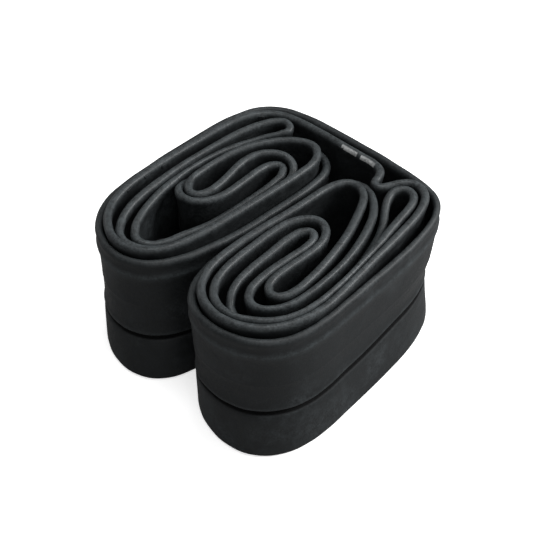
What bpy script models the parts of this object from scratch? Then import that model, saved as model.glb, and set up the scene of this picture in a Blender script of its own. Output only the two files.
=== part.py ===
"""A bicycle inner tube, folded flat into two rolls, with the valve that stands inside it.

The tube is one closed ring of rubber pressed flat into a strip two walls thick.  The strip
stands on its edge and is wound into a left roll and a right roll, which hold together only
by the two lengths of strip along the back.  Here the strip is made in eight lengths that
meet end to end.  Units are metres, +Z is up, X runs across the two rolls and Y along them.
"""
import math

import bmesh
import bpy
from mathutils import Matrix, Vector

MM = 0.001

# ---- Driving dimensions -----------------------------------------------------------------

# The folded pack, measured over its outer faces
PACK_WIDTH = 89.8 * MM
PACK_LENGTH = 93.9 * MM

# The flattened tube
STRIP_WIDTH = 49.5 * MM         # lay-flat width, which stands upright
FLAT_THICKNESS = 1.5 * MM       # two walls of 0.75 mm lying on each other
INNER_LIFT = 4.5 * MM           # the inner turns sit this much higher than the outer wrap
END_GAP = 0.3 * MM              # between two lengths of strip that meet
STATIONS_PER_SPAN = 2           # points on the strip between two points of the plan
HANDLE_SHARE = 0.390625         # reach of the smoothing handles, as a share of the span

# The valve: a standard car-type stem, 7.5 mm over the thread, on a moulded rubber foot
SEAT_GAP = 0.2 * MM             # between valve pieces that touch
RUNNING_GAP = 0.3 * MM          # between valve pieces that slide in each other
PATCH_THICKNESS = 0.9 * MM
PATCH_HALF_WIDTH = 5.5 * MM
PATCH_HALF_HEIGHT = 7.5 * MM
PATCH_CLEAR_SHARE = 1.35        # the wall is kept clear this far out, as a share of the half width
VALVE_REACH = 7.6 * MM          # from the middle of the strip to the valve's axis
VALVE_FOOT_HEIGHT = 13.5 * MM   # the foot's centre above the ground
STEM_BASE = 12.0 * MM           # the brass stem's lower end above the ground
STEM_LENGTH = 24.5 * MM
STEM_ROOT_RADIUS = 2.9 * MM     # where the rubber covers it
STEM_CHAMFER = 0.35 * MM
THREAD_RADIUS = 3.75 * MM       # where the cap screws on
THREAD_LENGTH = 12.0 * MM
STEM_BORE_RADIUS = 2.2 * MM
CORE_BORE_RADIUS = 2.55 * MM    # the wider bore that holds the valve core
CORE_BORE_DEPTH = 9.5 * MM
RUBBER_WALL = 1.1 * MM
RUBBER_FLOOR = 3.0 * MM
RUBBER_ROUNDING = 0.9 * MM
RUBBER_TAPER_DEPTH = 0.4 * MM   # how much thinner the rubber's top rim is
RUBBER_TAPER_LENGTH = 2.0 * MM
ROOT_INSET = 0.3 * MM           # how far outside the bore the foot's arm starts
ROOT_NECK_SHARE = 0.85          # the arm's radius at the stem, as a share of the rubber's
ROOT_FOOT_SHARE = 0.9           # the arm's radius at the wall, as a share of the patch's
CAP_WALL = 0.7 * MM
CAP_ROOF = 1.1 * MM
CAP_SKIRT = 8.0 * MM            # how far the cap covers the thread
CAP_CHAMFER = 0.6 * MM
CAP_GRIP_RIBS = 12
GROOVE_RADIUS = 0.45 * MM
GROOVE_RISE = 1.5 * MM          # the finger grooves start this far above the cap's rim
GROOVE_SIDES = 8
GASKET_THICKNESS = 0.8 * MM
PIN_RADIUS = 0.55 * MM
PIN_RECESS = 0.4 * MM           # the pin's top below the stem's rim
PIN_FOOT_HEIGHT = 0.5 * MM
COLLAR_HEIGHT = 0.8 * MM
COLLAR_DEPTH = 2.4 * MM         # the pin's collar below the barrel's top
BARREL_WALL = 0.45 * MM
BARREL_LENGTH = 9.7 * MM
BARREL_LIP = 0.8 * MM           # the inward lip that carries the spring
SWIVEL_LENGTH = 5.4 * MM
SWIVEL_BORE_RADIUS = 0.95 * MM
BARREL_GASKET_LENGTH = 2.0 * MM
CUP_HEIGHT = 1.2 * MM
CUP_WALL = 0.25 * MM
WASHER_HEIGHT = 0.8 * MM
SPRING_WIRE_RADIUS = 0.14 * MM
SPRING_TURNS = 5
SPRING_POINTS_PER_TURN = 10
ROUND_STEPS = 32

# ---- The fold plan ----------------------------------------------------------------------
# Middle line of the strip as seen from above, in millimetres, in order round the ring.
# The last point of each length leads on to the first of the next one.
FOLD_PLAN = {
    "tube_left_wrap": [
        (-31.2, 2.1), (-30.9, 8.7), (-29.8, 14.7), (-28.5, 19.8), (-25.2, 25.9), (-21.0, 30.9),
        (-16.8, 34.5), (-11.4, 35.9), (-6.3, 34.0), (-3.4, 29.7), (-2.4, 23.1), (-2.1, 11.1),
        (-2.4, -0.9), (-2.7, -12.9), (-3.6, -22.5), (-5.7, -32.4), (-9.9, -40.5), (-15.6, -44.7),
        (-22.5, -46.2), (-30.0, -44.7), (-36.9, -39.9), (-41.7, -32.1), (-43.8, -21.9),
        (-44.1, -9.9), (-44.1, 5.1), (-43.5, 18.6), (-42.0, 27.6), (-39.0, 35.1), (-33.6, 40.2),
        (-26.4, 42.9), (-15.0, 44.4), (-6.0, 45.1),
    ],
    "tube_right_wrap": [
        (3.0, 45.6), (12.0, 46.0), (21.0, 46.2), (28.5, 45.6), (34.2, 43.5), (38.1, 39.0),
        (40.5, 32.7), (42.0, 24.6), (42.9, 14.1), (43.5, 2.1), (43.9, -9.9), (44.1, -18.9),
        (43.2, -27.3), (40.5, -34.5), (35.4, -40.5), (28.2, -44.1), (19.8, -45.3),
        (12.0, -43.5), (6.0, -38.4), (2.4, -30.3), (0.9, -20.4), (1.2, -8.4), (1.8, 3.6),
        (2.4, 14.1), (3.3, 22.5), (5.4, 27.3), (8.7, 30.3), (12.0, 31.0),
    ],
    "tube_right_middle_turn": [
        (15.3, 30.4), (18.0, 28.9), (21.3, 26.2), (24.6, 22.2), (27.4, 16.8), (29.7, 11.1),
        (31.6, 5.1), (33.1, -1.5), (34.0, -9.9), (34.1, -17.4), (33.1, -24.3), (30.9, -28.9),
        (27.6, -31.8), (24.0, -31.8), (21.1, -28.9), (19.8, -24.3), (19.5, -17.4), (19.8, -9.9),
        (19.9, -3.3), (18.9, 0.9), (16.5, 2.4), (14.2, 0.6), (13.3, -3.9), (13.5, -12.9),
        (13.9, -21.9), (15.3, -29.4), (18.0, -33.9), (21.0, -36.3),
    ],
    "tube_right_small_loop": [
        (24.0, -36.6), (28.2, -34.4), (32.4, -30.1), (34.9, -25.5), (36.2, -18.9), (36.0, -9.9),
        (35.1, -0.9), (33.6, 7.5), (31.9, 14.1), (30.0, 19.5), (27.6, 24.0), (24.6, 28.2),
        (22.6, 32.1), (22.3, 35.4), (24.0, 38.1), (27.0, 38.4), (29.4, 36.3), (31.0, 32.1),
        (32.2, 26.1), (33.4, 20.1), (34.7, 14.1), (35.9, 7.5), (37.1, -0.9), (38.0, -9.9),
        (38.3, -18.9), (37.0, -26.1), (34.2, -31.5), (29.4, -36.1), (23.1, -39.3), (16.8, -38.7),
        (12.3, -35.1), (9.6, -29.1), (8.4, -21.9), (8.1, -14.4), (8.1, -5.4), (9.0, 0.9),
        (11.4, 5.4), (14.7, 7.5), (18.0, 6.9),
    ],
    "tube_right_main_turn": [
        (20.7, 4.2), (22.2, -0.3), (22.4, -7.5), (22.2, -15.3), (22.5, -20.7), (24.0, -24.0),
        (26.6, -25.1), (29.1, -23.4), (30.4, -18.9), (30.1, -12.3), (29.1, -5.4), (27.4, 2.1),
        (25.5, 8.7), (23.1, 14.7), (20.7, 20.1), (18.3, 24.6), (15.9, 27.3), (12.9, 28.5),
        (9.6, 27.6), (7.5, 24.9), (6.3, 20.4), (6.0, 14.1), (5.7, 6.6), (5.1, -0.9),
        (4.5, -9.9), (4.2, -18.9), (4.8, -27.3), (6.9, -33.9), (10.8, -39.0), (16.8, -41.7),
        (24.3, -41.5), (31.2, -38.4), (36.4, -33.0), (39.4, -26.4), (40.8, -18.9), (40.4, -9.9),
        (39.3, -0.9), (38.1, 8.1), (37.2, 16.5), (36.1, 24.6), (34.8, 31.5), (33.0, 36.9),
        (30.6, 40.5), (27.3, 42.1), (24.0, 41.7), (21.6, 39.3), (19.8, 36.0), (18.3, 33.4),
        (16.8, 32.7), (15.3, 33.6), (14.5, 36.0), (12.9, 39.0), (9.6, 40.4),
    ],
    "tube_left_main_turn": [
        (3.0, 40.4), (-6.0, 40.0), (-15.0, 39.8), (-24.0, 39.0), (-30.9, 36.9), (-36.0, 32.4),
        (-39.3, 25.5), (-40.5, 16.5), (-41.1, 5.1), (-41.1, -6.9), (-40.8, -18.9), (-39.0, -28.5),
        (-35.4, -36.0), (-30.0, -40.8), (-24.0, -42.9), (-18.0, -42.0), (-12.9, -38.4),
        (-9.3, -32.4), (-7.2, -23.4), (-6.3, -12.9), (-5.7, -0.9), (-5.2, 11.1), (-5.0, 20.1),
        (-5.7, 26.7), (-8.1, 31.2), (-11.4, 33.0), (-16.2, 31.5), (-20.4, 28.2), (-23.6, 23.7),
        (-26.3, 18.6), (-28.3, 12.0),
    ],
    "tube_left_middle_turn": [
        (-29.1, 5.1), (-29.2, -2.1), (-28.3, -7.5), (-26.2, -10.5), (-23.7, -11.7),
        (-21.3, -10.5), (-20.1, -7.2), (-20.1, -2.7), (-21.0, 2.7), (-22.2, 8.1), (-22.5, 12.9),
        (-21.3, 17.7), (-18.3, 21.3), (-14.4, 23.1), (-10.8, 22.5), (-8.5, 19.2), (-7.9, 12.6),
        (-8.4, -0.9), (-9.2, -12.9), (-10.2, -22.5), (-12.3, -30.3), (-15.9, -36.3),
        (-20.4, -39.6), (-25.2, -39.9), (-29.1, -36.9), (-32.2, -31.5), (-34.2, -23.7),
        (-35.2, -12.9), (-35.5, -0.9),
    ],
    "tube_left_inner_turn": [
        (-35.2, 11.1), (-34.0, 21.9), (-31.8, 29.7), (-29.4, 33.8), (-26.4, 35.4), (-23.6, 33.8),
        (-24.6, 30.2), (-27.6, 26.2), (-30.7, 20.1), (-32.3, 14.1), (-33.0, 8.1), (-33.4, 0.6),
        (-33.1, -6.9), (-32.4, -14.7), (-30.6, -22.5), (-28.2, -29.1), (-25.1, -34.2),
        (-21.3, -36.6), (-18.0, -35.1), (-15.6, -31.2), (-13.8, -24.0), (-12.0, -16.8),
        (-11.1, -8.4), (-10.4, 3.6), (-10.4, 12.0), (-11.4, 17.6), (-14.0, 20.1), (-16.4, 17.7),
        (-17.0, 12.6), (-16.4, 7.2), (-15.8, 2.4), (-15.4, -2.4), (-16.2, -8.1), (-18.6, -12.3),
        (-22.5, -14.7), (-26.7, -14.1), (-29.8, -10.5), (-31.2, -5.1),
    ],
}
OUTER_WRAPS = ("tube_left_wrap", "tube_right_wrap")
RIGHT_ROLL = (
    "tube_right_wrap",
    "tube_right_middle_turn",
    "tube_right_small_loop",
    "tube_right_main_turn",
)
# The valve is bonded to the straight run that starts at this point of this length
VALVE_LENGTH_NAME = "tube_left_inner_turn"
VALVE_RUN_START = 19
# The back strands bend here when the two rolls are spread apart
HINGE_OFFSET = 0.5 * MM         # the bending line behind the outer face of the back
HINGE_LENGTH_NAME = "tube_right_wrap"

# ---- Sizes that follow from those above -------------------------------------------------

PACK_HEIGHT = INNER_LIFT + STRIP_WIDTH
STEM_TOP = STEM_BASE + STEM_LENGTH
CORE_BORE_BASE = STEM_TOP - CORE_BORE_DEPTH
RUBBER_BORE_RADIUS = STEM_ROOT_RADIUS + SEAT_GAP
RUBBER_RADIUS = RUBBER_BORE_RADIUS + RUBBER_WALL
RUBBER_TOP = STEM_TOP - THREAD_LENGTH - SEAT_GAP
RUBBER_BORE_BASE = STEM_BASE - SEAT_GAP
CAP_BORE_RADIUS = THREAD_RADIUS + SEAT_GAP
CAP_RADIUS = CAP_BORE_RADIUS + CAP_WALL
CAP_BASE = STEM_TOP - CAP_SKIRT
GASKET_BASE = STEM_TOP + SEAT_GAP
CAP_CEILING = GASKET_BASE + GASKET_THICKNESS + SEAT_GAP
CAP_TOP = CAP_CEILING + CAP_ROOF
BARREL_RADIUS = STEM_BORE_RADIUS - RUNNING_GAP
BARREL_BORE_RADIUS = BARREL_RADIUS - BARREL_WALL
BARREL_GASKET_BASE = CORE_BORE_BASE + SEAT_GAP
BARREL_GASKET_TOP = BARREL_GASKET_BASE + BARREL_GASKET_LENGTH
SWIVEL_BASE = BARREL_GASKET_TOP + 2.0 * SEAT_GAP
BARREL_TOP = SWIVEL_BASE - SEAT_GAP
BARREL_BASE = BARREL_TOP - BARREL_LENGTH
SWIVEL_RADIUS = CORE_BORE_RADIUS - SEAT_GAP
SWIVEL_TOP = SWIVEL_BASE + SWIVEL_LENGTH
SPRING_BASE = BARREL_BASE + BARREL_LIP + SEAT_GAP
COLLAR_RADIUS = BARREL_BORE_RADIUS - RUNNING_GAP
COLLAR_TOP = BARREL_TOP - COLLAR_DEPTH
COLLAR_BASE = COLLAR_TOP - COLLAR_HEIGHT
SPRING_TOP = COLLAR_BASE - SEAT_GAP
SPRING_RADIUS = 0.5 * (PIN_RADIUS + BARREL_BORE_RADIUS)
CUP_TOP = BARREL_BASE - 2.0 * SEAT_GAP
CUP_BASE = CUP_TOP - CUP_HEIGHT
CUP_FLOOR = CUP_TOP - WASHER_HEIGHT
CUP_BORE_RADIUS = PIN_RADIUS + SEAT_GAP
CUP_RADIUS = BARREL_RADIUS - SEAT_GAP
PIN_TOP = STEM_TOP - PIN_RECESS
PIN_FOOT_TOP = CUP_BASE - SEAT_GAP
LIP_BORE_RADIUS = PIN_RADIUS + RUNNING_GAP

COLOURS = {
    "butyl": ((0.018, 0.018, 0.020), 0.62, 0.0),
    "moulded_rubber": ((0.022, 0.022, 0.024), 0.55, 0.0),
    "brass": ((0.62, 0.45, 0.20), 0.32, 1.0),
    "steel": ((0.55, 0.55, 0.56), 0.30, 1.0),
    "cap_plastic": ((0.015, 0.015, 0.016), 0.38, 0.0),
    "seal": ((0.35, 0.05, 0.04), 0.55, 0.0),
}


# ---- Helpers ----------------------------------------------------------------------------

def clear_scene():
    """Remove every object, so that the script can run again."""
    for old in list(bpy.data.objects):
        bpy.data.objects.remove(old, do_unlink=True)


def new_collection(name):
    """Make a collection in the scene."""
    collection = bpy.data.collections.new(name)
    bpy.context.scene.collection.children.link(collection)
    return collection


def paint(thing, finish):
    """Give an object its own Principled material."""
    colour, roughness, metallic = COLOURS[finish]
    material = bpy.data.materials.new(thing.name)
    material.use_nodes = True
    shader = material.node_tree.nodes["Principled BSDF"]
    shader.inputs["Base Color"].default_value = (*colour, 1.0)
    shader.inputs["Roughness"].default_value = roughness
    shader.inputs["Metallic"].default_value = metallic
    thing.data.materials.append(material)


def add_object(name, data, finish, parent=None):
    """Link an object to the part's collection, paint it and hang it on its parent."""
    thing = bpy.data.objects.new(name, data)
    PARTS.objects.link(thing)
    thing.parent = parent
    paint(thing, finish)
    return thing


def add_empty(name, place, turn=0.0):
    """Add a locating empty, turned about Z."""
    empty = bpy.data.objects.new(name, None)
    empty.location = place
    empty.rotation_euler = (0.0, 0.0, turn)
    PARTS.objects.link(empty)
    return empty


def turned(name, profile, finish, parent, closed=False):
    """Turn a profile of (radius, height) points round Z; a closed one makes a ring."""
    mesh = bpy.data.meshes.new(name)
    shape = bmesh.new()
    corners = [shape.verts.new((radius, 0.0, height)) for radius, height in profile]
    for first, second in zip(corners, corners[1:]):
        shape.edges.new((first, second))
    if closed:
        shape.edges.new((corners[-1], corners[0]))
    shape.to_mesh(mesh)
    shape.free()
    thing = add_object(name, mesh, finish, parent)
    screw = thing.modifiers.new("turn", "SCREW")
    screw.axis = "Z"
    screw.steps = ROUND_STEPS
    screw.render_steps = ROUND_STEPS
    screw.use_merge_vertices = True
    screw.merge_threshold = 0.00001
    screw.use_smooth_shade = True
    return thing


# ---- The tube ---------------------------------------------------------------------------

def scaled_plan():
    """The plan in metres, centred and stretched to the pack's width and length."""
    line = smooth_ring([point for length in FOLD_PLAN.values() for point in length])
    low = [min(point[axis] for point in line) for axis in (0, 1)]
    high = [max(point[axis] for point in line) for axis in (0, 1)]
    centre = Vector(((low[0] + high[0]) / 2.0, (low[1] + high[1]) / 2.0))
    stretch = Vector((
        (PACK_WIDTH - FLAT_THICKNESS) / (high[0] - low[0]),
        (PACK_LENGTH - FLAT_THICKNESS) / (high[1] - low[1]),
    ))
    return {
        name: [(Vector(point) - centre) * stretch for point in points]
        for name, points in FOLD_PLAN.items()
    }


def smooth_ring(points):
    """Points along a smooth closed curve through the given ones."""
    knots = [Vector(point) for point in points]
    reaches = []
    for before, knot, after in zip(knots[-1:] + knots[:-1], knots, knots[1:] + knots[:1]):
        heading = ((after - knot).normalized() + (knot - before).normalized()).normalized()
        reaches.append(heading)
    line = []
    for index, knot in enumerate(knots):
        following = (index + 1) % len(knots)
        end = knots[following]
        reach = (end - knot).length * HANDLE_SHARE
        handle_a = knot + reaches[index] * reach
        handle_b = end - reaches[following] * reach
        for step in range(STATIONS_PER_SPAN):
            t = step / STATIONS_PER_SPAN
            line.append(
                (1 - t) ** 3 * knot
                + 3 * (1 - t) ** 2 * t * handle_a
                + 3 * (1 - t) * t ** 2 * handle_b
                + t ** 3 * end
            )
    return line


def lengths_of_strip(plan):
    """Cut the ring into its named lengths, each shortened by half the gap at both ends."""
    ring = smooth_ring([point for length in plan.values() for point in length])
    start = 0
    lengths = {}
    for name, points in plan.items():
        count = len(points) * STATIONS_PER_SPAN
        line = [ring[(start + step) % len(ring)] for step in range(count + 1)]
        line[0] = line[0] + (line[1] - line[0]).normalized() * END_GAP / 2.0
        line[-1] = line[-1] + (line[-2] - line[-1]).normalized() * END_GAP / 2.0
        lengths[name] = line
        start += count
    return lengths


def strip_length(name, line, hinge):
    """One length of the flattened tube, standing on its edge."""
    base = 0.0 if name in OUTER_WRAPS else INNER_LIFT
    parent = hinge if name in RIGHT_ROLL else None
    origin = Vector((hinge.location.x, hinge.location.y)) if parent else Vector((0.0, 0.0))
    curve = bpy.data.curves.new(name, "CURVE")
    curve.dimensions = "2D"
    curve.fill_mode = "NONE"
    curve.extrude = STRIP_WIDTH / 2.0
    spline = curve.splines.new("POLY")
    spline.points.add(len(line) - 1)
    for knot, place in zip(spline.points, line):
        knot.co = (*(place - origin), 0.0, 1.0)
    thing = add_object(name, curve, "butyl", parent)
    thing.location.z = base + STRIP_WIDTH / 2.0
    solidify = thing.modifiers.new("two walls", "SOLIDIFY")
    solidify.thickness = FLAT_THICKNESS
    solidify.offset = 0.0
    solidify.use_even_offset = True
    return thing


# ---- The valve --------------------------------------------------------------------------

def valve_patch(frame, bulge):
    """The reinforcing patch that bonds the valve to the tube's wall, clear of its bulge."""
    mesh = bpy.data.meshes.new("valve_patch")
    shape = bmesh.new()
    bmesh.ops.create_cone(
        shape, cap_ends=True, segments=ROUND_STEPS, radius1=1.0, radius2=1.0, depth=1.0,
    )
    shape.transform(
        Matrix.Rotation(math.radians(90.0), 4, "Y")
        @ Matrix.Diagonal((PATCH_HALF_HEIGHT, PATCH_HALF_WIDTH, PATCH_THICKNESS, 1.0))
    )
    shape.to_mesh(mesh)
    shape.free()
    patch = add_object("valve_patch", mesh, "moulded_rubber", frame)
    reach = VALVE_REACH - bulge - FLAT_THICKNESS / 2.0 - END_GAP - PATCH_THICKNESS / 2.0
    patch.location = (reach, 0.0, VALVE_FOOT_HEIGHT)
    return patch


def valve_rubber(frame, bulge):
    """The moulded rubber that covers the stem's root and reaches sideways to the patch."""
    base = RUBBER_BORE_BASE - RUBBER_FLOOR
    rubber = turned("valve_rubber", [
        (0.0, RUBBER_BORE_BASE),
        (RUBBER_BORE_RADIUS, RUBBER_BORE_BASE),
        (RUBBER_BORE_RADIUS, RUBBER_TOP),
        (RUBBER_RADIUS - RUBBER_TAPER_DEPTH, RUBBER_TOP),
        (RUBBER_RADIUS, RUBBER_TOP - RUBBER_TAPER_LENGTH),
        (RUBBER_RADIUS, base + RUBBER_ROUNDING),
        (RUBBER_RADIUS - RUBBER_ROUNDING, base),
        (0.0, base),
    ], "moulded_rubber", frame)
    root_start = RUBBER_BORE_RADIUS + ROOT_INSET
    root_end = VALVE_REACH - bulge - FLAT_THICKNESS / 2.0 - 2.0 * END_GAP - PATCH_THICKNESS
    mesh = bpy.data.meshes.new("valve_root")
    shape = bmesh.new()
    bmesh.ops.create_cone(
        shape, cap_ends=True, segments=ROUND_STEPS, radius1=RUBBER_RADIUS * ROOT_NECK_SHARE,
        radius2=PATCH_HALF_WIDTH * ROOT_FOOT_SHARE, depth=root_end - root_start,
    )
    shape.transform(
        Matrix.Translation(((root_start + root_end) / 2.0, 0.0, VALVE_FOOT_HEIGHT))
        @ Matrix.Rotation(math.radians(90.0), 4, "Y")
    )
    shape.to_mesh(mesh)
    shape.free()
    root = bpy.data.objects.new("valve_root", mesh)
    CUTTERS.objects.link(root)
    root.parent = frame
    root.hide_render = True
    root.display_type = "WIRE"
    join = rubber.modifiers.new("root", "BOOLEAN")
    join.operation = "UNION"
    join.object = root
    return rubber


def valve_stem(frame):
    """The brass tube: plain where the rubber holds it, thicker where the cap screws on."""
    thread_base = STEM_TOP - THREAD_LENGTH
    return turned("valve_stem", [
        (THREAD_RADIUS - STEM_CHAMFER, STEM_TOP),
        (THREAD_RADIUS, STEM_TOP - STEM_CHAMFER),
        (THREAD_RADIUS, thread_base),
        (STEM_ROOT_RADIUS, thread_base),
        (STEM_ROOT_RADIUS, STEM_BASE),
        (STEM_BORE_RADIUS, STEM_BASE),
        (STEM_BORE_RADIUS, CORE_BORE_BASE),
        (CORE_BORE_RADIUS, CORE_BORE_BASE),
        (CORE_BORE_RADIUS, STEM_TOP),
    ], "brass", frame, closed=True)


def ring(name, outer, inner, base, top, finish, frame):
    """A plain turned ring."""
    return turned(name, [
        (outer, top), (outer, base), (inner, base), (inner, top),
    ], finish, frame, closed=True)


def valve_core(frame, pin_frame):
    """The core that screws into the stem: swivel, barrel and gasket stay, the pin moves."""
    ring("core_swivel", SWIVEL_RADIUS, SWIVEL_BORE_RADIUS, SWIVEL_BASE, SWIVEL_TOP, "brass",
         frame)
    turned("core_barrel", [
        (BARREL_RADIUS, BARREL_TOP),
        (BARREL_RADIUS, BARREL_BASE),
        (LIP_BORE_RADIUS, BARREL_BASE),
        (LIP_BORE_RADIUS, BARREL_BASE + BARREL_LIP),
        (BARREL_BORE_RADIUS, BARREL_BASE + BARREL_LIP),
        (BARREL_BORE_RADIUS, BARREL_TOP),
    ], "brass", frame, closed=True)
    turned("core_barrel_gasket", [
        (CORE_BORE_RADIUS - SEAT_GAP, BARREL_GASKET_TOP),
        (CORE_BORE_RADIUS - SEAT_GAP, BARREL_GASKET_BASE),
        (BARREL_RADIUS + SEAT_GAP / 2.0, BARREL_GASKET_BASE),
        (BARREL_RADIUS + SEAT_GAP / 2.0, BARREL_GASKET_TOP),
    ], "seal", frame, closed=True)
    turned("core_pin", [
        (0.0, PIN_TOP),
        (PIN_RADIUS, PIN_TOP),
        (PIN_RADIUS, COLLAR_TOP),
        (COLLAR_RADIUS, COLLAR_TOP),
        (COLLAR_RADIUS, COLLAR_BASE),
        (PIN_RADIUS, COLLAR_BASE),
        (PIN_RADIUS, PIN_FOOT_TOP),
        (CUP_BORE_RADIUS + SEAT_GAP, PIN_FOOT_TOP),
        (CUP_BORE_RADIUS + SEAT_GAP, PIN_FOOT_TOP - PIN_FOOT_HEIGHT),
        (0.0, PIN_FOOT_TOP - PIN_FOOT_HEIGHT),
    ], "steel", pin_frame)
    turned("core_cup", [
        (CUP_RADIUS, CUP_TOP),
        (CUP_RADIUS, CUP_BASE),
        (CUP_BORE_RADIUS, CUP_BASE),
        (CUP_BORE_RADIUS, CUP_FLOOR),
        (CUP_RADIUS - CUP_WALL, CUP_FLOOR),
        (CUP_RADIUS - CUP_WALL, CUP_TOP),
    ], "brass", pin_frame, closed=True)
    washer_gap = SEAT_GAP / 2.0
    ring("core_cup_washer", CUP_RADIUS - CUP_WALL - washer_gap, CUP_BORE_RADIUS,
         CUP_FLOOR + washer_gap, CUP_FLOOR + WASHER_HEIGHT + washer_gap, "seal", pin_frame)


def core_spring(frame):
    """The coil that holds the pin up, from the barrel's lip to the pin's collar."""
    height = SPRING_TOP - SPRING_BASE - 2.0 * SPRING_WIRE_RADIUS
    steps = SPRING_TURNS * SPRING_POINTS_PER_TURN
    curve = bpy.data.curves.new("core_spring", "CURVE")
    curve.dimensions = "3D"
    curve.bevel_depth = SPRING_WIRE_RADIUS
    curve.bevel_resolution = 2
    curve.use_fill_caps = True
    spline = curve.splines.new("POLY")
    spline.points.add(steps)
    for step, knot in enumerate(spline.points):
        angle = 2.0 * math.pi * step / SPRING_POINTS_PER_TURN
        rise = SPRING_BASE + SPRING_WIRE_RADIUS + height * step / steps
        knot.co = (SPRING_RADIUS * math.cos(angle), SPRING_RADIUS * math.sin(angle), rise, 1.0)
    return add_object("core_spring", curve, "steel", frame)


def valve_cap(frame):
    """The screw cap, with grooves for the fingers, and the gasket under its roof."""
    cap = turned("valve_cap", [
        (0.0, CAP_TOP),
        (CAP_RADIUS - CAP_CHAMFER, CAP_TOP),
        (CAP_RADIUS, CAP_TOP - CAP_CHAMFER),
        (CAP_RADIUS, CAP_BASE),
        (CAP_BORE_RADIUS, CAP_BASE),
        (CAP_BORE_RADIUS, CAP_CEILING),
        (0.0, CAP_CEILING),
    ], "cap_plastic", frame)
    groove_place = CAP_RADIUS + GROOVE_RADIUS / 2.0
    mesh = bpy.data.meshes.new("cap_grooves")
    shape = bmesh.new()
    for rib in range(CAP_GRIP_RIBS):
        angle = 2.0 * math.pi * (rib + 0.5) / CAP_GRIP_RIBS
        bmesh.ops.create_cone(
            shape, cap_ends=True, segments=GROOVE_SIDES, radius1=GROOVE_RADIUS,
            radius2=GROOVE_RADIUS, depth=CAP_TOP - CAP_BASE,
            matrix=Matrix.Translation((
                groove_place * math.cos(angle),
                groove_place * math.sin(angle),
                (CAP_BASE + CAP_TOP) / 2.0 + GROOVE_RISE,
            )),
        )
    shape.to_mesh(mesh)
    shape.free()
    grooves = bpy.data.objects.new("cap_grooves", mesh)
    CUTTERS.objects.link(grooves)
    grooves.parent = frame
    grooves.hide_render = True
    grooves.display_type = "WIRE"
    cut = cap.modifiers.new("grip", "BOOLEAN")
    cut.operation = "DIFFERENCE"
    cut.object = grooves
    turned("cap_gasket", [
        (0.0, GASKET_BASE + GASKET_THICKNESS),
        (THREAD_RADIUS, GASKET_BASE + GASKET_THICKNESS),
        (THREAD_RADIUS, GASKET_BASE),
        (0.0, GASKET_BASE),
    ], "seal", frame)


def valve_axis(plan):
    """Where the valve stands, the turn that points its local +X at the tube's wall, and how
    far the wall bulges towards it beside the patch."""
    run = plan[VALVE_LENGTH_NAME]
    start = run[VALVE_RUN_START]
    along = (run[VALVE_RUN_START + 1] - start).normalized()
    inward = Vector((-along.y, along.x))
    middle = (start + run[VALVE_RUN_START + 1]) / 2.0
    place = middle + inward * VALVE_REACH
    beside = [
        (point - middle).dot(inward)
        for point in lengths_of_strip(plan)[VALVE_LENGTH_NAME]
        if abs((point - middle).dot(along)) < PATCH_HALF_WIDTH * PATCH_CLEAR_SHARE
        and abs((point - middle).dot(inward)) < VALVE_REACH / 2.0
    ]
    return Vector((*place, 0.0)), math.atan2(-inward.y, -inward.x), max(0.0, *beside)


# ---- Build ------------------------------------------------------------------------------

clear_scene()
PARTS = new_collection("inner_tube")
CUTTERS = new_collection("cutters")

tube_plan = scaled_plan()
hinge_start = tube_plan[HINGE_LENGTH_NAME][0]
roll_hinge = add_empty("roll_hinge", (
    hinge_start.x,
    PACK_LENGTH / 2.0 + HINGE_OFFSET,
    0.0,
))
for length_name, middle_line in lengths_of_strip(tube_plan).items():
    strip_length(length_name, middle_line, roll_hinge)

valve_place, valve_turn, wall_bulge = valve_axis(tube_plan)
valve_frame = add_empty("valve_frame", valve_place, valve_turn)
valve_patch(valve_frame, wall_bulge)
valve_rubber(valve_frame, wall_bulge)
valve_stem(valve_frame)
valve_core(valve_frame, valve_frame)
core_spring(valve_frame)
valve_cap(valve_frame)
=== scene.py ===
# %% [markdown]
# # A bicycle inner tube, folded flat and wound into two rolls
# The real thing is one closed ring of black butyl rubber. With the air pressed out it becomes a
# flat strip, two walls thick, with a rounded edge on each side. The strip stands on one edge and is
# wound into a left and a right roll that stay joined by two lengths of strip along the back.
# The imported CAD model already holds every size, so this script only gives it its looks.

import math

import bpy
import numpy as np
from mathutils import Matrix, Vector


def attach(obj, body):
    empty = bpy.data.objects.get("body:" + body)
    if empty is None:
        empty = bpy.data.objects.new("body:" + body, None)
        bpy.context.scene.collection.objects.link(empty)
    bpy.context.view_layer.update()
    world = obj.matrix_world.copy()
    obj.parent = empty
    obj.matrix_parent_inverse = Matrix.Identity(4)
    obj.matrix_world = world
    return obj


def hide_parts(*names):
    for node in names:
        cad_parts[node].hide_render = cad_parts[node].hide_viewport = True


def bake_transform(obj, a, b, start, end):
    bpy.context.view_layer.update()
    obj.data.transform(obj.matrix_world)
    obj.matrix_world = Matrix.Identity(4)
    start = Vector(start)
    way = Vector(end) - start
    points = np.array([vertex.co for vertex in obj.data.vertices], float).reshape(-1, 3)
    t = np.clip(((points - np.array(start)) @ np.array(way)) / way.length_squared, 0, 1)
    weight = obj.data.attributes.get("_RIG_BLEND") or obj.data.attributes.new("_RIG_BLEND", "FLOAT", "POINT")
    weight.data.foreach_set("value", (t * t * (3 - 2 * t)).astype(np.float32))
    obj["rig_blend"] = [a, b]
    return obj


MM = 0.001

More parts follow.
